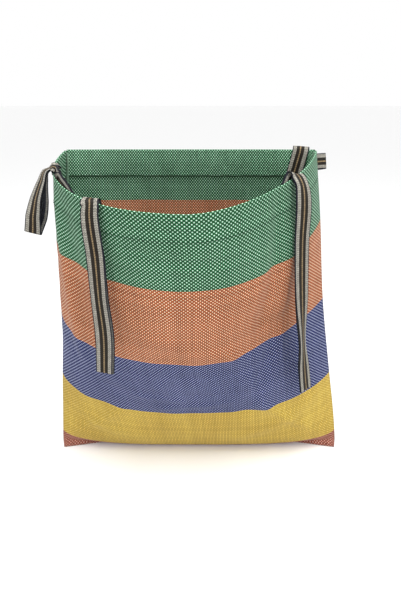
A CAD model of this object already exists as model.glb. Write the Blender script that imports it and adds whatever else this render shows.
"""Looks of a sack-race bag: striped woven panels, turned-in hems, seams and doubled webbing loops."""

import logging
import math
from dataclasses import dataclass
from enum import Enum

import bpy
import numpy as np
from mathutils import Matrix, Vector

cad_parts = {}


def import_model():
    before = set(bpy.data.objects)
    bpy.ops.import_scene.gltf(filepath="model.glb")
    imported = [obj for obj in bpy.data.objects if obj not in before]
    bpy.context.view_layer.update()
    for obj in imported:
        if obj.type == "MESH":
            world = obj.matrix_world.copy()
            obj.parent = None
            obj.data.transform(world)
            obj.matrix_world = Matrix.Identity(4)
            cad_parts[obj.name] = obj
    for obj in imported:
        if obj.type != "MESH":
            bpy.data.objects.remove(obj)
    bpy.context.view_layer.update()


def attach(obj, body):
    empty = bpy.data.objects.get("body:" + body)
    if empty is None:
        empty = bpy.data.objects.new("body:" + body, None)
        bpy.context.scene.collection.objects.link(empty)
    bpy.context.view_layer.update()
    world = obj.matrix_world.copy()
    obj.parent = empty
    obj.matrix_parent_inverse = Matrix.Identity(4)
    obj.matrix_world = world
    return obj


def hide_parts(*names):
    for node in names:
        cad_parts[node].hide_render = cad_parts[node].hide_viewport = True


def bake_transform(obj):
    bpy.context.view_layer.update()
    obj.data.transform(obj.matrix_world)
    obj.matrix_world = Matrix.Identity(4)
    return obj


LOG = logging.getLogger("sack")
MM = 0.001
FLAT_WIDTH = 505.0  # one panel, laid flat between its side seams, mm
FLAT_HEIGHT = 525.0  # one panel, laid flat from bottom seam to rim, mm
HEM_DEPTH = 40.0
CLOTH = 1.1
HEM_INSIDE = 2 * CLOTH + 0.5  # inner face of a hem, inside the panel's outer face, mm
THREAD_PITCH = 2.6  # one thread of the weave, mm
SEAM_APART = 1.0  # each panel stands this far from the plane of the side seams, mm
RIM_BEND = ((-5.6, 0.0), (-4.0, 4.0), (-0.8, 5.4))  # a strap over the rim: outwards and up, mm
RIM_LEAVE = (2.8, 3.4)  # where a strap leaves the rim: outwards and up, mm
SACK_BODY = "sack"

Colour = tuple[float, float, float]
Point = tuple[float, float, float]


def linear(colour: Colour) -> tuple[float, float, float, float]:
    """Turn a screen colour of 0 to 255 into the linear colour that shaders take."""
    parts = [c / 255 for c in colour]
    parts = [c / 12.92 if c <= 0.04045 else ((c + 0.055) / 1.055) ** 2.4 for c in parts]
    return (*parts, 1.0)


def smooth(x: np.ndarray, knots: np.ndarray, values: np.ndarray) -> np.ndarray:
    """Interpolate through knots with one smooth curve.

    Args:
        x: Where to read the curve.
        knots: Rising places of the known values.
        values: The value at each knot.

    Returns:
        The curve's value at each x.
    """
    steps = np.diff(values) / np.diff(knots)
    slopes = np.concatenate([steps[:1], (steps[:-1] + steps[1:]) / 2, steps[-1:]])
    i = np.clip(np.searchsorted(knots, x) - 1, 0, len(knots) - 2)
    width = knots[i + 1] - knots[i]
    t = (x - knots[i]) / width
    start = (1 + 2 * t) * (1 - t) ** 2 * values[i] + t * (1 - t) ** 2 * width * slopes[i]
    end = t * t * (3 - 2 * t) * values[i + 1] + t * t * (t - 1) * width * slopes[i + 1]
    return start + end


def unit(vectors: np.ndarray) -> np.ndarray:
    """Scale vectors in the last axis to length one."""
    return vectors / np.maximum(np.linalg.norm(vectors, axis=-1, keepdims=True), 1e-12)


class Side(Enum):
    """The two panels of the sack."""

    FRONT = "front"
    BACK = "back"

    @property
    def apart(self) -> float:
        """How far along Y this panel is moved off the plane of the side seams, in mm."""
        return SEAM_APART if self is Side.BACK else -SEAM_APART


@dataclass(frozen=True)
class Station:
    """One level of the open sack, at a height up the flat cloth. Sizes are in mm.

    A pair such as front is (y, z) at the middle of that panel, and a pair such as front_left is how
    square the outline is: across the sack, then outwards.
    """

    height: float
    half_width: float
    shift: float
    seam: tuple[float, float]
    front: tuple[float, float]
    front_left: tuple[float, float]
    front_right: tuple[float, float]
    cheek: float
    back: tuple[float, float]
    back_round: tuple[float, float]


STATIONS = (
    Station(0, 249.5, -2.5, (0, 0.6), (33, 0.6), (2.1, 0.85), (2.1, 0.85), 0, (33, 0.6), (2.1, 0.85)),
    Station(19, 249, -2.7, (2, 19), (17, 0.6), (3.1, 1.5), (3.1, 1.5), 0, (46, 13), (2.3, 1.0)),
    Station(34, 248, -3, (3, 34), (4, 3.0), (3.5, 1.8), (3.5, 1.7), 0, (54, 26), (2.4, 1.1)),
    Station(79, 244, -4.5, (9, 78), (-22, 40), (3.0, 1.4), (2.9, 1.3), 0, (76, 66), (2.3, 1.2)),
    Station(152, 236, -8, (17, 149), (-46, 105), (2.9, 1.3), (2.8, 1.1), 2, (95, 138), (2.1, 1.2)),
    Station(277, 220, -12, (32, 281), (-78, 213), (2.5, 1.6), (1.7, 1.1), 11, (109, 268), (2.0, 1.2)),
    Station(415, 208, -13, (48, 417), (-110, 349), (2.2, 1.8), (2.0, 1.2), 16, (99, 408), (2.2, 1.1)),
    Station(525, 197, -15, (58, 522), (-129, 460), (2.3, 2.2), (1.6, 1.4), 14, (86, 520), (2.8, 1.0)),
)


@dataclass(frozen=True)
class Fold:
    """A soft ridge or valley in a panel, from one flat place to another, in mm."""

    start: tuple[float, float]
    end: tuple[float, float]
    width: float
    lift: float

    def height(self, u: np.ndarray, v: np.ndarray) -> np.ndarray:
        """Height of the fold over the cloth at flat places u, v."""
        along = np.array(self.end) - np.array(self.start)
        length = float(np.hypot(*along))
        du, dv = u - self.start[0], v - self.start[1]
        t = (du * along[0] + dv * along[1]) / length**2
        off = (du * along[1] - dv * along[0]) / length
        fade = np.clip(np.minimum(t, 1 - t) * 4 + 0.5, 0, 1)
        return self.lift * fade * fade * (3 - 2 * fade) * np.exp(-((off / self.width) ** 2))


@dataclass(frozen=True)
class SackForm:
    """The shape that the open sack stands in, as two surfaces over the flat cloth."""

    stations: tuple[Station, ...] = STATIONS
    front_folds: tuple[Fold, ...] = (
        Fold((-168, 240), (-176, 520), 12, 5.0),
        Fold((-140, 300), (-150, 500), 15, -4.0),
        Fold((118, 290), (132, 520), 12, -6.0),
        Fold((150, 250), (158, 470), 12, 4.5),
        Fold((242, 28), (106, 168), 9, 5.0),
        Fold((112, 160), (62, 300), 13, 4.5),
        Fold((60, 70), (215, 140), 15, 3.0),
        Fold((-240, 34), (-118, 152), 10, 4.5),
        Fold((-70, 60), (-215, 110), 18, 2.5),
        Fold((80, 150), (165, 330), 15, -4.5),
        Fold((-210, 70), (-120, 210), 18, -3.5),
        Fold((-60, 168), (60, 180), 7, 2.2),
        Fold((-90, 196), (-10, 190), 6, 1.6),
        Fold((-40, 330), (110, 262), 14, 3.2),
        Fold((20, 400), (150, 300), 11, -2.4),
        Fold((-120, 440), (-40, 300), 15, 2.6),
        Fold((-60, 470), (60, 452), 10, -2.0),
    )
    back_folds: tuple[Fold, ...] = (
        Fold((-190, 60), (-60, 230), 24, 4.5),
        Fold((200, 80), (70, 260), 22, 4.0),
        Fold((-20, 60), (10, 300), 30, -3.5),
        Fold((-200, 330), (-90, 250), 20, 3.0),
        Fold((120, 420), (160, 260), 16, 3.0),
        Fold((-120, 500), (-80, 380), 22, 2.0),
    )

    def value(self, name: str, v: np.ndarray, part: int | None = None) -> np.ndarray:
        """Read one size of the stations at flat heights v.

        Args:
            name: The station's field.
            v: Flat heights in mm.
            part: Which of a pair's two numbers, if the field is a pair.

        Returns:
            The size at each height, as a column.
        """
        knots = np.array([s.height for s in self.stations], float)
        read = [getattr(s, name) for s in self.stations]
        values = np.array([r if part is None else r[part] for r in read], float)
        return smooth(v, knots, values)[:, None]

    def rows(self, side: Side, v: np.ndarray, columns: int) -> np.ndarray:
        """Smooth surface of one panel, before its folds.

        Args:
            side: The panel.
            v: Flat heights of the rows, in mm.
            columns: Number of points across, evenly spaced along the cloth.

        Returns:
            Points in mm, with shape (rows, columns, 3).
        """
        turn = np.linspace(0, math.pi, 241)[None, :]
        cosine, sine = np.cos(turn), np.sin(turn)
        half, middle = self.value("half_width", v), self.value("shift", v)
        if side is Side.FRONT:
            left = [self.value("front_left", v, i) for i in (0, 1)]
            right = [self.value("front_right", v, i) for i in (0, 1)]
            centre = [self.value("front", v, i) for i in (0, 1)]
            cheek = self.value("cheek", v)
        else:
            left = right = [self.value("back_round", v, i) for i in (0, 1)]
            centre = [self.value("back", v, i) for i in (0, 1)]
            cheek = np.zeros_like(half)
        on_left = cosine > 0
        across = np.where(on_left, left[0], right[0])
        outwards = np.where(on_left, left[1], right[1])
        x = middle - half * np.sign(cosine) * np.abs(cosine) ** (2 / across)
        share = np.abs(sine) ** (2 / outwards)
        x = x - cheek * np.where(on_left, 4 * share * (1 - share), 0)
        y = self.value("seam", v, 0) * (1 - share) + centre[0] * share
        z = self.value("seam", v, 1) * (1 - share) + centre[1] * share
        points = np.stack([x, y, z], -1)
        steps = np.linalg.norm(np.diff(points, axis=1), axis=-1)
        along = np.concatenate([np.zeros((len(v), 1)), np.cumsum(steps, 1)], 1)
        even = np.linspace(0, 1, columns)
        out = np.empty((len(v), columns, 3))
        for i, total in enumerate(along[:, -1]):
            for axis in range(3):
                out[i, :, axis] = np.interp(even * total, along[i], points[i, :, axis])
        return out

    def surface(self, side: Side, v: np.ndarray, columns: int, inset: float = 0.0) -> np.ndarray:
        """Surface of one panel with its folds, moved inwards by inset.

        Args:
            side: The panel.
            v: Flat heights of the rows, in mm.
            columns: Number of points across.
            inset: Distance inside the cloth's outer face, in mm.

        Returns:
            Points in mm, with shape (rows, columns, 3).
        """
        points = self.rows(side, v, columns)
        normals = outward_normals(points, side)
        flat_u, flat_v = np.meshgrid(np.linspace(-0.5, 0.5, columns) * FLAT_WIDTH, v)
        lift = np.zeros_like(flat_u)
        for fold in self.front_folds if side is Side.FRONT else self.back_folds:
            lift += fold.height(flat_u, flat_v)
        phase = 0.0 if side is Side.FRONT else 1.7
        lift += 0.9 * np.sin(flat_u / 23 + phase) * np.sin(flat_v / 37 + 0.6 * np.sin(flat_u / 31))
        lift += 0.5 * np.sin(flat_u / 9.5 + flat_v / 29 + phase) * np.cos(flat_v / 13 - flat_u / 61)
        edge = np.clip((FLAT_WIDTH / 2 - np.abs(flat_u)) / 45, 0, 1)
        foot = np.clip((flat_v - 30) / 60, 0, 1)
        rim = 0.35 + 0.65 * np.clip((FLAT_HEIGHT - flat_v) / 60, 0, 1)
        lift *= edge * foot * rim
        return points + normals * (lift - inset)[..., None]


def outward_normals(points: np.ndarray, side: Side) -> np.ndarray:
    """Normals of a grid surface, pointing out of the sack."""
    across = np.gradient(points, axis=1)
    up = np.gradient(points, axis=0)
    normals = unit(np.cross(across, up))
    return normals if side is Side.FRONT else -normals


@dataclass
class MeshParts:
    """Corners, faces and flat cloth places of a mesh that is being built, in mm."""

    corners: list[np.ndarray]
    faces: list[tuple[int, ...]]
    flats: list[np.ndarray]
    finishes: list[int]
    count: int = 0

    @staticmethod
    def empty() -> "MeshParts":
        """Start with nothing."""
        return MeshParts([], [], [], [])

    def grid(
        self, points: np.ndarray, flat: np.ndarray, outward: bool, finish: int = 0,
        closed: bool = False,
    ) -> np.ndarray:
        """Add a grid of quads.

        Args:
            points: Grid of corners, (rows, columns, 3).
            flat: Flat cloth place of each corner, (rows, columns, 2).
            outward: Whether columns then rows turn the faces outwards.
            finish: Index of the material.
            closed: Whether the last column joins the first.

        Returns:
            The index of each corner, (rows, columns).
        """
        rows, columns = points.shape[:2]
        index = self.count + np.arange(rows * columns).reshape(rows, columns)
        self.corners.append(points.reshape(-1, 3))
        self.flats.append(flat.reshape(-1, 2))
        self.count += rows * columns
        ring = np.concatenate([index, index[:, :1]], 1) if closed else index
        self.join(ring, outward, finish)
        return index

    def join(self, index: np.ndarray, outward: bool, finish: int = 0) -> None:
        """Add quads between corners that are already there."""
        quads = np.stack([index[:-1, :-1], index[:-1, 1:], index[1:, 1:], index[1:, :-1]], -1)
        quads = quads.reshape(-1, 4)
        if not outward:
            quads = quads[:, ::-1]
        self.faces += [tuple(q) for q in quads.tolist()]
        self.finishes += [finish] * len(quads)

    def cap(self, row: np.ndarray, outward: bool) -> None:
        """Close the open end of a tube with one face.

        Args:
            row: Corners round the end.
            outward: Whether their own order turns the face outwards.
        """
        self.faces.append(tuple(row[::1 if outward else -1].tolist()))
        self.finishes.append(0)

    def build(self, name: str, finishes: list[bpy.types.Material]) -> bpy.types.Object:
        """Make the Blender object, in metres.

        Args:
            name: Name of the piece.
            finishes: Materials, in the order that faces number them.

        Returns:
            The new object.
        """
        mesh = bpy.data.meshes.new(name)
        corners = np.concatenate(self.corners) * MM
        flats = np.concatenate(self.flats)
        mesh.from_pydata(corners.tolist(), [], self.faces)
        layer = mesh.uv_layers.new(name="cloth")
        loops = np.empty(len(mesh.loops), np.int32)
        mesh.loops.foreach_get("vertex_index", loops)
        layer.data.foreach_set("uv", flats[loops].astype(np.float32).ravel())
        mesh.polygons.foreach_set("use_smooth", [True] * len(mesh.polygons))
        mesh.polygons.foreach_set("material_index", self.finishes)
        for finish in finishes:
            mesh.materials.append(finish)
        mesh.update()
        piece = bpy.data.objects.new(name, mesh)
        bpy.context.scene.collection.objects.link(piece)
        return piece


class Nodes:
    """A small helper that adds shader nodes and joins them."""

    def __init__(self, name: str) -> None:
        """Start a material with only its output and its shader."""
        self.material = bpy.data.materials.new(name)
        self.material.use_nodes = True
        self.tree = self.material.node_tree
        self.tree.nodes.clear()
        self.output = self.tree.nodes.new("ShaderNodeOutputMaterial")
        self.shader = self.tree.nodes.new("ShaderNodeBsdfPrincipled")
        self.link(self.shader.outputs[0], self.output.inputs[0])

    def link(self, source: bpy.types.NodeSocket, target: bpy.types.NodeSocket) -> None:
        """Join an output to an input."""
        self.tree.links.new(source, target)

    def add(self, kind: str, **settings: object) -> bpy.types.Node:
        """Add a node of one kind with the settings given."""
        node = self.tree.nodes.new(kind)
        for key, value in settings.items():
            setattr(node, key, value)
        return node

    def feed(self, value: object, target: bpy.types.NodeSocket) -> None:
        """Give an input a constant or another node's output."""
        if isinstance(value, bpy.types.NodeSocket):
            self.link(value, target)
        else:
            target.default_value = value

    def math(self, operation: str, *values: object) -> bpy.types.NodeSocket:
        """Add a math node and return its result."""
        node = self.add("ShaderNodeMath", operation=operation)
        for value, target in zip(values, node.inputs):
            self.feed(value, target)
        return node.outputs[0]

    def mix(self, share: object, first: object, second: object, how: str = "MIX") -> bpy.types.NodeSocket:
        """Mix two colours and return the result."""
        node = self.add("ShaderNodeMix", data_type="RGBA", blend_type=how)
        self.feed(share, node.inputs[0])
        self.feed(first, node.inputs[6])
        self.feed(second, node.inputs[7])
        return node.outputs[2]

    def bands(self, place: bpy.types.NodeSocket, stops: list[tuple[float, Colour]]) -> bpy.types.NodeSocket:
        """Pick a colour by place, in flat bands that start at the stops."""
        node = self.add("ShaderNodeValToRGB")
        ramp = node.color_ramp
        ramp.interpolation = "CONSTANT"
        while len(ramp.elements) < len(stops):
            ramp.elements.new(0.5)
        for element, (start, colour) in zip(ramp.elements, stops):
            element.position = start
            element.color = linear(colour)
        self.link(place, node.inputs[0])
        return node.outputs[0]

    def grey(self, tone: bpy.types.NodeSocket) -> bpy.types.NodeSocket:
        """Turn a number into a grey colour."""
        node = self.add("ShaderNodeCombineColor")
        for target in node.inputs[:3]:
            self.link(tone, target)
        return node.outputs[0]

    def relief(self, height: bpy.types.NodeSocket, strength: float, depth: float) -> None:
        """Raise the surface by a height.

        Args:
            height: The height's socket.
            strength: Strength of the relief, 0 to 1.
            depth: Depth of the relief, in mm.
        """
        node = self.add("ShaderNodeBump")
        node.inputs["Strength"].default_value = strength
        node.inputs["Distance"].default_value = depth * MM
        self.link(height, node.inputs["Height"])
        self.link(node.outputs[0], self.shader.inputs["Normal"])

    def flat_place(self) -> tuple[bpy.types.NodeSocket, bpy.types.NodeSocket]:
        """The cloth's own flat coordinates, in mm."""
        uv = self.add("ShaderNodeUVMap", uv_map="cloth")
        apart = self.add("ShaderNodeSeparateXYZ")
        self.link(uv.outputs[0], apart.inputs[0])
        return apart.outputs[0], apart.outputs[1]


@dataclass(frozen=True)
class Stripe:
    """One woven stripe: its height on the flat cloth, its colour and its pale thread."""

    top: float
    ground: Colour
    pale: Colour


STRIPES = (
    Stripe(36, (146, 64, 48), (232, 190, 170)),
    Stripe(152, (204, 170, 66), (240, 212, 122)),
    Stripe(277, (14, 24, 92), (180, 190, 222)),
    Stripe(415, (172, 84, 40), (255, 220, 184)),
    Stripe(FLAT_HEIGHT + 60, (0, 80, 38), (194, 242, 210)),
)


@dataclass(frozen=True)
class WovenCloth:
    """Plain weave of one coloured and one pale thread, in broad stripes across the sack."""

    name: str
    stripe_rise: float = 0.0
    pitch: float = THREAD_PITCH
    roughness: float = 0.76
    relief: float = 0.55
    gain: float = 1.0

    def material(self) -> bpy.types.Material:
        """Build the cloth's material."""
        n = Nodes(self.name)
        u, v = n.flat_place()
        across = n.math("DIVIDE", u, self.pitch)
        up = n.math("DIVIDE", v, self.pitch)
        column, row = n.math("FLOOR", across), n.math("FLOOR", up)
        parity = n.math("MODULO", n.math("ADD", n.math("ADD", column, row), 4000.0), 2.0)
        over = n.math("GREATER_THAN", parity, 0.5)
        round_u = n.math("SINE", n.math("MULTIPLY", n.math("FRACT", across), math.pi))
        round_v = n.math("SINE", n.math("MULTIPLY", n.math("FRACT", up), math.pi))
        bump = n.math("MULTIPLY", n.math("POWER", round_u, 0.6), n.math("POWER", round_v, 0.6))
        level = n.math("DIVIDE", n.math("MULTIPLY", row, self.pitch), FLAT_HEIGHT + 60)
        starts = [0.0] + [(s.top + self.stripe_rise) / (FLAT_HEIGHT + 60) for s in STRIPES[:-1]]
        ground = n.bands(level, list(zip(starts, [s.ground for s in STRIPES])))
        pale = n.bands(level, list(zip(starts, [s.pale for s in STRIPES])))
        dot = n.math("MULTIPLY", over, n.math("POWER", bump, 1.5))
        colour = n.mix(dot, ground, pale)
        gap = n.math("MULTIPLY_ADD", bump, 0.86 * self.gain, 0.2 * self.gain)
        colour = n.mix(1.0, colour, n.grey(gap), "MULTIPLY")
        colour = n.mix(0.16, colour, self.unevenness(n, column, row), "MULTIPLY")
        colour = n.mix(0.22, colour, self.wear(n, u, v), "OVERLAY")
        n.link(colour, n.shader.inputs["Base Color"])
        height = n.math("ADD", bump, n.math("MULTIPLY", over, 0.25))
        rough = n.math("MULTIPLY_ADD", bump, -0.12, self.roughness + 0.1)
        n.link(rough, n.shader.inputs["Roughness"])
        n.relief(height, self.relief, 0.5)
        n.shader.inputs["Sheen Weight"].default_value = 0.06
        n.shader.inputs["Sheen Roughness"].default_value = 0.45
        n.shader.inputs["Specular IOR Level"].default_value = 0.2
        return n.material

    def unevenness(
        self, n: Nodes, column: bpy.types.NodeSocket, row: bpy.types.NodeSocket
    ) -> bpy.types.NodeSocket:
        """Threads that are each a little lighter or darker than the next."""
        tones = []
        for place in (column, row):
            noise = n.add("ShaderNodeTexWhiteNoise", noise_dimensions="1D")
            n.link(place, noise.inputs["W"])
            tones.append(noise.outputs["Value"])
        return n.grey(n.math("ADD", tones[0], tones[1]))

    def wear(self, n: Nodes, u: bpy.types.NodeSocket, v: bpy.types.NodeSocket) -> bpy.types.NodeSocket:
        """Broad, soft changes of tone, as cloth has after it is folded and handled."""
        place = n.add("ShaderNodeCombineXYZ")
        n.link(u, place.inputs[0])
        n.link(v, place.inputs[1])
        noise = n.add("ShaderNodeTexNoise", noise_dimensions="2D")
        noise.inputs["Scale"].default_value = 0.012
        noise.inputs["Detail"].default_value = 4.0
        n.link(place.outputs[0], noise.inputs["Vector"])
        return n.grey(noise.outputs[0])


@dataclass(frozen=True)
class Webbing:
    """Ribbed webbing with grey edges and black lines either side of a beige one."""

    name: str
    underside: bool = False
    rib: float = 3.2
    cords: float = 7.0

    def material(self) -> bpy.types.Material:
        """Build the webbing's material."""
        n = Nodes(self.name)
        across, along = n.flat_place()
        navy, grey, black, beige = (22, 26, 38), (150, 146, 136), (30, 24, 16), (134, 114, 84)
        stops = [
            (0.0, navy), (0.05, grey), (0.25, black), (0.44, beige), (0.52, black),
            (0.72, grey), (0.94, navy),
        ]
        if self.underside:
            stops = [(0.0, navy), (0.06, (112, 110, 104)), (0.2, navy), (0.46, (54, 58, 66)),
                     (0.54, navy), (0.8, (112, 110, 104)), (0.94, navy)]
        colour = n.bands(across, stops)
        cords = n.math("MULTIPLY", across, self.cords)
        cell = n.math("FRACT", cords)
        fold = n.math("ABSOLUTE", n.math("MULTIPLY_ADD", cell, 2.0, -1.0))
        turns = n.math("ADD", n.math("DIVIDE", along, self.rib), n.math("MULTIPLY", fold, 0.5))
        rib = n.math("ABSOLUTE", n.math("SINE", n.math("MULTIPLY", turns, math.pi)))
        groove = n.math("SUBTRACT", 1.0, n.math("POWER", fold, 6.0))
        bump = n.math("MULTIPLY", n.math("POWER", rib, 0.7), n.math("MULTIPLY_ADD", groove, 0.5, 0.5))
        noise = n.add("ShaderNodeTexWhiteNoise", noise_dimensions="2D")
        place = n.add("ShaderNodeCombineXYZ")
        n.link(n.math("FLOOR", turns), place.inputs[0])
        n.link(n.math("FLOOR", cords), place.inputs[1])
        n.link(place.outputs[0], noise.inputs["Vector"])
        tone = n.math("MULTIPLY", n.math("MULTIPLY_ADD", bump, 0.85, 0.25),
                      n.math("MULTIPLY_ADD", noise.outputs["Value"], 0.3, 0.85))
        n.link(n.mix(1.0, colour, n.grey(tone), "MULTIPLY"), n.shader.inputs["Base Color"])
        n.link(n.math("MULTIPLY_ADD", bump, -0.15, 0.9), n.shader.inputs["Roughness"])
        n.relief(bump, 0.7, 0.6)
        n.shader.inputs["Sheen Weight"].default_value = 0.04
        n.shader.inputs["Specular IOR Level"].default_value = 0.25
        return n.material


@dataclass(frozen=True)
class Thread:
    """Twisted sewing thread or the frayed, overlocked edge of a seam."""

    name: str
    colour: Colour
    twist: float = 1.6

    def material(self) -> bpy.types.Material:
        """Build the thread's material."""
        n = Nodes(self.name)
        across, along = n.flat_place()
        turns = n.math("ADD", n.math("DIVIDE", along, self.twist), across)
        ply = n.math("ABSOLUTE", n.math("SINE", n.math("MULTIPLY", turns, math.pi)))
        noise = n.add("ShaderNodeTexNoise", noise_dimensions="1D")
        n.link(along, noise.inputs["W"])
        noise.inputs["Scale"].default_value = 0.4
        tone = n.math("MULTIPLY_ADD", ply, 0.45, n.math("MULTIPLY_ADD", noise.outputs[0], 0.5, 0.3))
        base = n.mix(1.0, linear(self.colour), n.grey(tone), "MULTIPLY")
        n.link(base, n.shader.inputs["Base Color"])
        n.link(n.math("MULTIPLY_ADD", ply, -0.2, 0.9), n.shader.inputs["Roughness"])
        n.relief(ply, 0.6, 0.3)
        return n.material


@dataclass
class Panel:
    """One of the two woven panels, with its folds and its thickness."""

    form: SackForm
    side: Side
    finish: bpy.types.Material
    columns: int = 211
    rows: int = 221

    def heights(self) -> np.ndarray:
        """Flat heights of the rows, closer together at the foot."""
        even = np.linspace(0, 1, self.rows)
        return FLAT_HEIGHT * (0.8 * even + 0.2 * even**2)

    def build(self) -> bpy.types.Object:
        """Build the panel as a closed sheet of even thickness."""
        v = self.heights()
        outer = self.form.surface(self.side, v, self.columns)
        inner = self.form.surface(self.side, v, self.columns, CLOTH)
        for points in (outer, inner):
            points[..., 1] += self.side.apart
            points[..., 2] = np.maximum(points[..., 2], 0.2)
        inner[..., 2] = np.maximum(inner[..., 2], 0.2 + CLOTH)
        u = np.linspace(-0.5, 0.5, self.columns) * FLAT_WIDTH
        flat = np.stack(np.meshgrid(u, v), -1)
        front = self.side is Side.FRONT
        parts = MeshParts.empty()
        out = parts.grid(outer, flat, front)
        back = parts.grid(inner, flat, not front)
        for edge in (0, -1):
            turned = front == (edge == 0)
            parts.join(np.stack([back[edge], out[edge]]), turned)
            parts.join(np.stack([back[:, edge], out[:, edge]]), not turned)
        name = f"{self.side.value}_panel"
        piece = parts.build(f"{name}_cloth", [self.finish])
        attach(piece, SACK_BODY)
        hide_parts(name)
        return piece


@dataclass
class Hem:
    """The rim of a panel, rolled over its edge and turned in."""

    form: SackForm
    side: Side
    finish: bpy.types.Material
    columns: int = 211
    air: float = 0.5
    fullness: float = 1.2
    margin: int = 1

    def build(self) -> bpy.types.Object:
        """Build the turned-in layer, with a rolled top that caps the panel."""
        down = np.linspace(0, 1, 26)[1:] * HEM_DEPTH
        rising = FLAT_HEIGHT - down[::-1]
        near = self.form.surface(self.side, rising, self.columns, CLOTH + self.air)
        far = self.form.surface(self.side, rising, self.columns, HEM_INSIDE)[::-1]
        inward = -outward_normals(near, self.side)[::-1]
        near = near[::-1]
        top = self.form.surface(self.side, np.array([FLAT_HEIGHT - 2.0, FLAT_HEIGHT]), self.columns)
        normals = outward_normals(top, self.side)[-1]
        up = unit(top[-1] - top[0])
        radius = (2 * CLOTH + self.air) / 2 + 0.25
        centre = top[-1] - normals * (radius - 0.25) + up * 0.2
        ring = []
        for angle in np.linspace(-20, 200, 12):
            a = math.radians(angle)
            ring.append(centre + normals * (radius * math.cos(a)) + up * (radius * math.sin(a)))
        roll_in = []
        for angle in np.linspace(200, -20, 12):
            a = math.radians(angle)
            small = radius - CLOTH * 0.6
            roll_in.append(centre + normals * (small * math.cos(a)) + up * (small * math.sin(a)))
        u = np.linspace(-0.5, 0.5, self.columns) * FLAT_WIDTH
        pucker = 0.5 * np.sin(u / 6.3) * np.sin(u / 41) + 0.35 * np.sin(u / 3.1 + 1)
        depth = (down / HEM_DEPTH)[:, None]
        ease = self.fullness * np.sin(np.pi * depth) + 0.9 * depth**12
        shift = (ease * (1 + pucker[None, :]))[..., None]
        near, far = near + inward * shift, far + inward * shift
        path = np.concatenate([np.stack(ring), far, near[::-1], np.stack(roll_in)])
        v_ring = FLAT_HEIGHT + np.linspace(-1, 5.2, 12)
        v_far = FLAT_HEIGHT + 5.2 + down
        heights = np.concatenate([v_ring, v_far, v_far[::-1], v_ring[::-1]])
        flat = np.stack(np.meshgrid(u, heights), -1)
        path[..., 1] += self.side.apart
        if self.margin:
            path, flat = path[:, self.margin:-self.margin], flat[:, self.margin:-self.margin]
        parts = MeshParts.empty()
        outward = self.side is Side.FRONT
        index = parts.grid(path, flat, outward)
        parts.join(np.stack([index[-1], index[0]]), outward)
        half = len(path) // 2
        for edge in (0, -1):
            strip = np.stack([index[:half, edge], index[::-1, edge][:half]])
            parts.join(strip, outward == (edge == 0))
        name = f"{self.side.value}_hem"
        piece = parts.build(f"{name}_fold", [self.finish])
        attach(piece, SACK_BODY)
        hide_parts(name)
        return piece


def tube_rings(path: np.ndarray, radius: np.ndarray, sides: int = 6) -> np.ndarray:
    """Rings of a tube round a path.

    Args:
        path: Points along the middle, (n, 3), in mm.
        radius: Radius at each point, in mm.
        sides: Corners of each ring.

    Returns:
        Ring corners, (n, sides, 3).
    """
    forward = unit(np.gradient(path, axis=0))
    side = unit(np.cross(forward, np.array([0.13, 0.21, 0.97])))
    up = np.cross(side, forward)
    angle = np.arange(sides) * 2 * math.pi / sides
    ring = side[:, None] * np.cos(angle)[None, :, None] + up[:, None] * np.sin(angle)[None, :, None]
    return path[:, None] + ring * np.broadcast_to(radius, (len(path),))[:, None, None]


def add_tube(parts: MeshParts, path: np.ndarray, radius: np.ndarray, start: float = 0.0) -> None:
    """Add a closed tube with tapered ends to a mesh."""
    rings = tube_rings(path, radius)
    steps = np.concatenate([[0], np.cumsum(np.linalg.norm(np.diff(path, axis=0), axis=1))])
    sides = rings.shape[1]
    flat = np.stack(np.meshgrid(np.arange(sides) / sides, start + steps), -1)
    index = parts.grid(rings, flat, True, closed=True)
    for row, outward in ((index[0], False), (index[-1], True)):
        parts.cap(row, outward)


@dataclass
class HemStitching:
    """A row of lock stitches along the lower edge of a hem, seen on both faces of the cloth."""

    form: SackForm
    side: Side
    finish: bpy.types.Material
    above_edge: float = 3.5
    stitch: float = 5.2
    radius: float = 0.5
    points: int = 10

    def build(self) -> bpy.types.Object:
        """Build each stitch as its own short thread, dipping into the cloth at both ends."""
        count = int(FLAT_WIDTH * 0.96 / self.stitch)
        pitch = self.points + 2
        columns = pitch * count + 1
        v = np.array([-1.0, 0.0, 1.0]) + FLAT_HEIGHT - HEM_DEPTH + self.above_edge
        parts = MeshParts.empty()
        inside = HEM_INSIDE + 1.2
        for inset in (inside, -0.15):
            line = self.form.surface(self.side, v, columns, inset)
            normals = outward_normals(line, self.side)[1]
            line = line[1]
            line[:, 1] += self.side.apart
            sign = -1 if inset > 0 else 1
            for k in range(2, count - 2):
                span = slice(pitch * k + 1, pitch * k + 1 + self.points)
                t = np.linspace(0, 1, self.points)
                lift = 0.75 * np.sin(np.pi * t) ** 0.5 - 0.55
                path = line[span] + normals[span] * (sign * lift)[:, None]
                add_tube(parts, path, self.radius * (0.5 + 0.5 * np.sin(np.pi * t) ** 0.4))
        name = f"{self.side.value}_hem_stitching"
        piece = parts.build(f"{name}_thread", [self.finish])
        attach(piece, SACK_BODY)
        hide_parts(name)
        return piece


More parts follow.
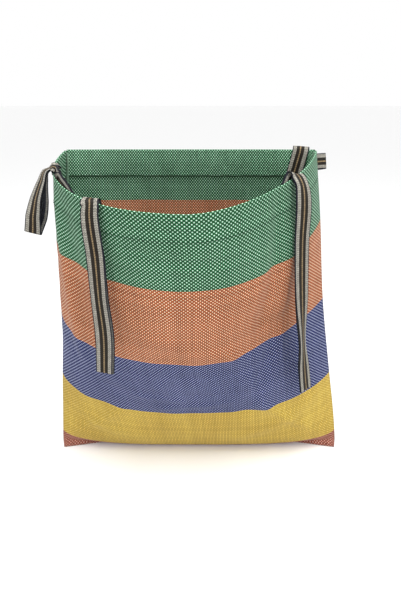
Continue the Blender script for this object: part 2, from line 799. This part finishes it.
@dataclass
class SideSeam:
    """Overlocked edges of both panels, standing inwards along a side seam."""

    form: SackForm
    left: bool
    finish: bpy.types.Material
    width: float = 8.0
    loop: float = 3.2

    def build(self) -> bpy.types.Object:
        """Build the seam allowance and the overlock thread that wraps it."""
        v = np.linspace(46, FLAT_HEIGHT - 1, 240)
        front = self.form.rows(Side.FRONT, v, 121)
        back = self.form.rows(Side.BACK, v, 121)
        at, near = (0, 4) if self.left else (-1, -5)
        seam = front[:, at]
        inward = unit(unit(front[:, near] - seam) + unit(back[:, near] - seam) + 1e-6)
        wave = 0.5 * np.sin(v / 11) + 0.3 * np.sin(v / 4.7)
        root = seam + inward * 0.6
        tip = seam + inward * (self.width + wave)[:, None]
        thick = unit(np.cross(inward, np.array([0.0, 0.0, 1.0]))) * 0.7
        ring = np.stack([root - thick * 0.6, tip - thick, tip + inward * 0.5, tip + thick,
                         root + thick * 0.6], 1)
        flat = np.stack(np.meshgrid(np.arange(5) / 5, v), -1)
        parts = MeshParts.empty()
        index = parts.grid(ring, flat, self.left, closed=True)
        for row, outward in ((index[0], not self.left), (index[-1], self.left)):
            parts.cap(row, outward)
        turns = np.linspace(0, 1, int(2 * FLAT_HEIGHT / self.loop) * 6)
        place = np.interp(turns, np.linspace(0, 1, len(v)), np.arange(len(v)))
        low = np.clip(place.astype(int), 0, len(v) - 2)
        share = (place - low)[:, None]

        def along(values: np.ndarray) -> np.ndarray:
            """Read values between the seam's rows."""
            return values[low] * (1 - share) + values[low + 1] * share

        angle = turns * 2 * math.pi * FLAT_HEIGHT / self.loop
        reach = (0.64 + 0.36 * np.cos(angle))[:, None]
        swing = np.sin(angle)[:, None]
        path = along(root) * (1 - reach) + along(tip + inward * 0.8) * reach
        path = path + along(thick) * swing * 1.2
        add_tube(parts, path, np.full(len(path), 0.36))
        name = "left_side_seam" if self.left else "right_side_seam"
        piece = parts.build(f"{name}_overlock", [self.finish])
        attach(piece, SACK_BODY)
        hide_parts(name)
        return piece


@dataclass
class BottomSeam:
    """Overlocked edges along the bottom of the sack, inside the foot of the back panel."""

    form: SackForm
    finish: bpy.types.Material
    width: float = 7.0

    def build(self) -> bpy.types.Object:
        """Build the rolled seam allowance with its overlock ridges."""
        line = self.form.rows(Side.BACK, np.array([0.0, 4.0]), 301)[0][70:-70]
        count = len(line)
        ridge = np.sin(np.arange(count) * 2.1)
        parts = MeshParts.empty()
        outline = [(-1.0, 1.6), (-1.4, 4.5), (-2.2, self.width), (-3.3, self.width + 0.3),
                   (-3.9, self.width - 2), (-3.6, 1.6)]
        ring = np.stack([
            line + np.stack([np.zeros(count), dy + 0.12 * ridge, dz + 0.25 * ridge], 1)
            for dy, dz in outline
        ], 1)
        along = np.linspace(0, 400, count)
        flat = np.stack(np.meshgrid(np.arange(6) / 6, along), -1)
        index = parts.grid(ring, flat, True, closed=True)
        for row, outward in ((index[0], False), (index[-1], True)):
            parts.cap(row, outward)
        piece = parts.build("bottom_seam_overlock", [self.finish])
        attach(piece, SACK_BODY)
        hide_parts("bottom_seam")
        return piece


@dataclass(frozen=True)
class StrapLayout:
    """Where one webbing loop sits, and the way that its tail hangs. Sizes are in mm.

    A place of the run is a share across the panel and a depth below the rim. A place of the tail is
    a point of its middle line. A facing is the direction of the webbing's width there, splay is how
    far the two layers stand apart, and drift is how far the rear one has slid sideways. Outward is
    the level way out of the sack, along which the strap goes over from the sack to its own body.
    """

    name: str
    side: Side
    place: float
    run: tuple[tuple[float, float], ...]
    tail: tuple[Point, ...]
    facings: tuple[Point, ...]
    splay: tuple[float, ...]
    drift: tuple[float, ...]
    outward: Point


STRAPS = (
    StrapLayout(
        "left", Side.FRONT, 0.115,
        ((0.29, 46), (0.262, 24), (0.225, 6), (0.185, 0), (0.145, -2)),
        ((-225, -13, 500), (-230, -18, 486), (-237, -24, 462), (-244, -28, 436), (-249, -30, 414)),
        ((0.5, -0.85, 0), (0.65, -0.75, 0), (0.8, -0.6, 0), (0.95, -0.3, -0.1), (0.98, -0.1, -0.15)),
        (1.0, 2.4, 8.0, 9.0, 1.5), (0, 2, 6, 5, 1), (-0.99, 0.1, 0),
    ),
    StrapLayout(
        "front_left", Side.FRONT, 0.31, ((0.31, 55), (0.31, 30), (0.31, 12)),
        ((-144, -107, 471), (-145, -111, 455), (-142, -111, 400), (-141, -111, 340),
         (-139, -111, 280), (-142, -111, 223)),
        ((0.93, -0.36, 0), (0.97, -0.22, 0), (0.97, -0.15, 0), (0.95, -0.3, 0), (0.98, -0.15, 0),
         (0.97, -0.25, 0)),
        (0.8, 0.8, 1.2, 2.0, 1.2, 0.8), (0, 0, 0.5, 1.5, 3, 3), (-0.3, -0.95, 0),
    ),
    StrapLayout(
        "front_right", Side.FRONT, 0.83, ((0.75, 50), (0.78, 26), (0.803, 8), (0.817, 1)),
        ((143, -40, 486), (146, -45, 470), (148, -47, 400), (153, -49, 320), (161, -49, 238),
         (167, -48, 190), (173, -47, 154)),
        ((0.8, 0.6, 0), (0.9, 0.43, 0), (0.9, 0.43, 0), (0.85, 0.53, 0), (0.5, 0.86, 0),
         (0.76, 0.65, 0), (0.8, 0.6, 0)),
        (0.8, 0.8, 1.4, 2.6, 1.4, 2.2, 0.8), (0, 0, 1, 2, 0, 1, 1), (0.78, -0.62, 0),
    ),
    StrapLayout(
        "back_right", Side.BACK, 0.94, ((0.885, 66), (0.91, 36), (0.93, 12)),
        ((161, 73, 518), (165, 79, 507), (177, 87, 501), (193, 95, 500), (207, 101, 501)),
        ((0.94, -0.33, 0), (0.85, -0.1, 0.5), (0.5, 0.1, 0.85), (0.1, 0.1, 1), (-0.1, 0.1, 1)),
        (0.8, 1.2, 2.4, 3.2, 1.5), (0, 0, 1, 2, 1), (0.33, 0.94, 0),
    ),
)


@dataclass(frozen=True)
class StrapLine:
    """Points along a strap's middle, and what the strap does at each of them."""

    path: np.ndarray
    width: np.ndarray
    face: np.ndarray
    gap: np.ndarray
    slid: np.ndarray
    top: Vector
    level: Vector


@dataclass
class WebbingStrap:
    """A doubled webbing loop: sewn inside the rim, bent over it, with its folded end hanging free."""

    form: SackForm
    layout: StrapLayout
    outer: bpy.types.Material
    inner: bpy.types.Material
    width: float = 25.0
    ply: float = 1.3
    step: float = 1.6

    def line(self) -> StrapLine:
        """Middle line of the doubled strap, with its width, face, splay and drift along it."""
        columns = 401
        side = self.layout.side
        rim = self.form.surface(side, np.array([FLAT_HEIGHT - 3, FLAT_HEIGHT]), columns)
        normals = outward_normals(rim, side)[1]
        at = int(round(self.layout.place * (columns - 1)))
        along = unit(rim[1, at + 3] - rim[1, at - 3])
        normal, top = normals[at], rim[1, at] + np.array([0, side.apart, 0])
        turned = [unit(np.array(f, float)) for f in self.layout.facings]
        level = unit(np.array(self.layout.outward, float))
        along = along if turned[0] @ along > 0 else -along
        points, widths = [], []
        for place, below in self.layout.run:
            row = self.form.surface(
                side, np.array([FLAT_HEIGHT - below - 2, FLAT_HEIGHT - below]), columns,
                HEM_INSIDE + self.ply + 1.6)
            points.append(row[1, int(round(place * (columns - 1)))])
        for out, rise in RIM_BEND:
            points.append(top + normal * out + np.array([0, 0, rise]))
        points.append(top + level * RIM_LEAVE[0] + np.array([0, 0, RIM_LEAVE[1]]))
        sewn = len(self.layout.run)
        for here, after in zip(points[:sewn], points[1:]):
            across = unit(np.cross(normal, after - here))
            widths.append(across if across @ along > 0 else -across)
        for share in (0.25, 0.5, 0.75, 1.0):
            widths.append(unit(widths[sewn - 1] * (1 - share) + turned[0] * share))
        points += [np.array(p, float) for p in self.layout.tail]
        widths += turned
        splay = [0.5] * (len(points) - len(self.layout.tail)) + list(self.layout.splay)
        points, widths, splay = np.array(points), np.array(widths), np.array(splay)
        steps = np.concatenate([[0], np.cumsum(np.linalg.norm(np.diff(points, axis=0), axis=1))])
        count = int(steps[-1] / self.step)
        fine = np.linspace(0, steps[-1], count)
        path = np.stack([smooth(fine, steps, points[:, i]) for i in range(3)], 1)
        width = unit(np.stack([smooth(fine, steps, widths[:, i]) for i in range(3)], 1))
        forward = unit(np.gradient(path, axis=0))
        width = unit(width - forward * np.sum(width * forward, 1, keepdims=True))
        face = np.cross(width, forward)
        gap = np.interp(fine, steps, splay) / 2
        slid = smooth(fine, steps, np.array([0.0] * (len(points) - len(turned)) + list(self.layout.drift)))
        if face[count // 2] @ normal < 0 and side is Side.FRONT:
            width, face, slid = -width, -face, -slid
        return StrapLine(path, width, face, gap, slid, Vector(top), Vector(level))

    def build(self) -> bpy.types.Object:
        """Build the loop as one band that runs down, round its fold and back up."""
        line = self.line()
        path, width, face, top, level = line.path, line.width, line.face, line.top, line.level
        half = line.gap + self.ply / 2
        outer = path + face * half[:, None]
        inner = path - face * half[:, None] + width * line.slid[:, None]
        forward = unit(path[-1] - path[-4])
        fold = []
        for angle in np.linspace(90, -90, 9)[1:-1]:
            a = math.radians(angle)
            fold.append(path[-1] + face[-1] * (half[-1] * math.sin(a)) + forward * (half[-1] * math.cos(a))
                        + width[-1] * (line.slid[-1] * (1 - math.sin(a)) / 2))
        middle = np.concatenate([outer, np.array(fold), inner[::-1]])
        across = np.concatenate([width, np.repeat(width[-1:], len(fold), 0), width[::-1]])
        ahead = unit(np.gradient(middle, axis=0))
        up = unit(np.cross(across, ahead))
        w, t = self.width / 2, self.ply / 2
        shares = np.linspace(-1, 1, 15)
        top_row = [(s, t * (1 - 0.1 * s**8 * 5)) for s in shares]
        ring_shape = top_row + [(s, -h) for s, h in reversed(top_row)]
        ring = np.stack([middle + across * (s * w) + up * h for s, h in ring_shape], 1)
        steps = np.concatenate([[0], np.cumsum(np.linalg.norm(np.diff(middle, axis=0), axis=1))])
        u = np.array([(s + 1) / 2 for s, _ in ring_shape])
        flat = np.stack(np.meshgrid(u, steps), -1)
        parts = MeshParts.empty()
        index = parts.grid(ring, flat, False)
        n = len(shares)
        ring_closed = np.concatenate([index[:, -1:], index[:, :1]], 1)
        parts.join(ring_closed, False)
        columns = index.shape[1] - 1
        for face_at in range(len(parts.finishes) - (len(middle) - 1)):
            column = face_at % columns
            parts.finishes[face_at] = 0 if column < n - 1 else 1
        for row, outward in ((index[0], True), (index[-1], False)):
            parts.cap(row, outward)
        name = self.layout.name
        piece = parts.build(f"{name}_strap", [self.outer, self.inner])
        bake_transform(piece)
        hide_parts(f"{name}_strap_run", f"{name}_strap_tail")
        return piece


@dataclass
class BarTack:
    """The bars of close stitches that sew the end of a strap to the inside of the hem."""

    strap: WebbingStrap
    finish: bpy.types.Material
    width: float = 20.0
    bars: tuple[float, ...] = (5.0, 13.0)
    points: int = 90
    radius: float = 0.4

    def build(self) -> bpy.types.Object:
        """Build each bar as one thread that zigzags across the strap."""
        line = self.strap.line()
        parts = MeshParts.empty()
        for distance in self.bars:
            at = int(distance / self.strap.step)
            here, across, face = line.path[at], line.width[at], line.face[at]
            forward = unit(line.path[at + 1] - line.path[at - 1])
            middle = np.array([0.0, 20.0, here[2]])
            face = face if face @ (middle - here) > 0 else -face
            here = here + face * (line.gap[at] + self.strap.ply + 0.1)
            share = np.linspace(-1, 1, self.points)
            zigzag = np.abs((np.arange(self.points) % 4) - 2) - 1.0
            path = here + across * (share * self.width / 2)[:, None] + forward * (zigzag * 1.4)[:, None]
            add_tube(parts, path, np.full(self.points, self.radius))
        name = f"{self.strap.layout.name}_bar_tack"
        piece = parts.build(f"{name}_thread", [self.finish])
        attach(piece, SACK_BODY)
        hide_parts(name)
        return piece


@dataclass
class Studio:
    """Plain pale floor, soft light and the camera."""

    eye: Point = (0.0, -0.757, 0.598)
    tilt: float = 22.0
    focal_share: float = 500 / 401
    sensor: float = 36.0
    floor_size: float = 90.0

    def floor(self) -> None:
        """Lay the floor."""
        parts = MeshParts.empty()
        edge = np.linspace(-0.5, 0.5, 5) * self.floor_size / MM
        grid = np.stack(np.meshgrid(edge, edge, indexing="xy"), -1)
        points = np.concatenate([grid, np.zeros((5, 5, 1))], -1)
        n = Nodes("studio_floor")
        n.shader.inputs["Base Color"].default_value = (0.95, 0.95, 0.95, 1)
        n.shader.inputs["Roughness"].default_value = 0.9
        n.shader.inputs["Specular IOR Level"].default_value = 0.1
        floor = parts.grid(points, grid * MM, True)
        piece = parts.build("floor", [n.material])
        LOG.info("floor with %d corners", floor.size)

    def light(self, name: str, place: Point, size: float, power: float) -> None:
        """Hang one square lamp that faces the sack."""
        lamp = bpy.data.lights.new(name, "AREA")
        lamp.shape = "SQUARE"
        lamp.size = size
        lamp.energy = power
        holder = bpy.data.objects.new(name, lamp)
        holder.location = place
        aim = Vector((0, 0, 0.25)) - Vector(place)
        holder.rotation_euler = aim.to_track_quat("-Z", "Y").to_euler()
        bpy.context.scene.collection.objects.link(holder)

    def build(self) -> None:
        """Build the floor, the lights and the camera."""
        self.floor()
        self.light("key_light", (-1.1, -1.9, 1.9), 1.4, 4)
        self.light("fill_light", (1.9, -1.5, 1.3), 1.4, 8)
        self.light("top_light", (0.0, -0.3, 1.8), 0.8, 24)
        world = bpy.data.worlds.new("studio_air")
        world.use_nodes = True
        world.node_tree.nodes["Background"].inputs[0].default_value = (1, 1, 1, 1)
        world.node_tree.nodes["Background"].inputs[1].default_value = 1.0
        bpy.context.scene.world = world
        camera = bpy.data.cameras.new("camera")
        camera.sensor_fit = "HORIZONTAL"
        camera.sensor_width = self.sensor
        camera.lens = self.sensor * self.focal_share
        camera.clip_end = 100
        holder = bpy.data.objects.new("camera", camera)
        holder.location = self.eye
        holder.rotation_euler = (math.radians(90 - self.tilt), 0, 0)
        bpy.context.scene.collection.objects.link(holder)
        bpy.context.scene.camera = holder
        bpy.context.scene.view_settings.view_transform = "Standard"


def main() -> None:
    """Build every piece of the sack around the frame."""
    logging.basicConfig(level=logging.INFO)
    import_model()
    form = SackForm()
    cloths = {
        Side.FRONT: WovenCloth("front_woven_cloth").material(),
        Side.BACK: WovenCloth("back_woven_cloth", stripe_rise=27.0, gain=1.12).material(),
    }
    turned = WovenCloth("turned_in_cloth", gain=1.16).material()
    outer = Webbing("striped_webbing").material()
    inner = Webbing("webbing_underside", underside=True).material()
    green_thread = Thread("green_thread", (10, 58, 34)).material()
    pale_thread = Thread("pale_overlock", (118, 154, 128)).material()
    rust_thread = Thread("rust_overlock", (150, 96, 80)).material()
    dark_thread = Thread("dark_thread", (60, 56, 50)).material()
    for side in Side:
        panel = Panel(form, side, cloths[side]).build()
        hem = Hem(form, side, turned).build()
        stitching = HemStitching(form, side, green_thread).build()
        LOG.info("%s panel, hem and stitching", side.value)
    for left in (True, False):
        SideSeam(form, left, pale_thread).build()
    BottomSeam(form, rust_thread).build()
    for layout in STRAPS:
        strap = WebbingStrap(form, layout, outer, inner)
        strap.build()
        BarTack(strap, dark_thread).build()
        LOG.info("%s strap", layout.name)
    Studio().build()


if __name__ == "__main__":
    main()
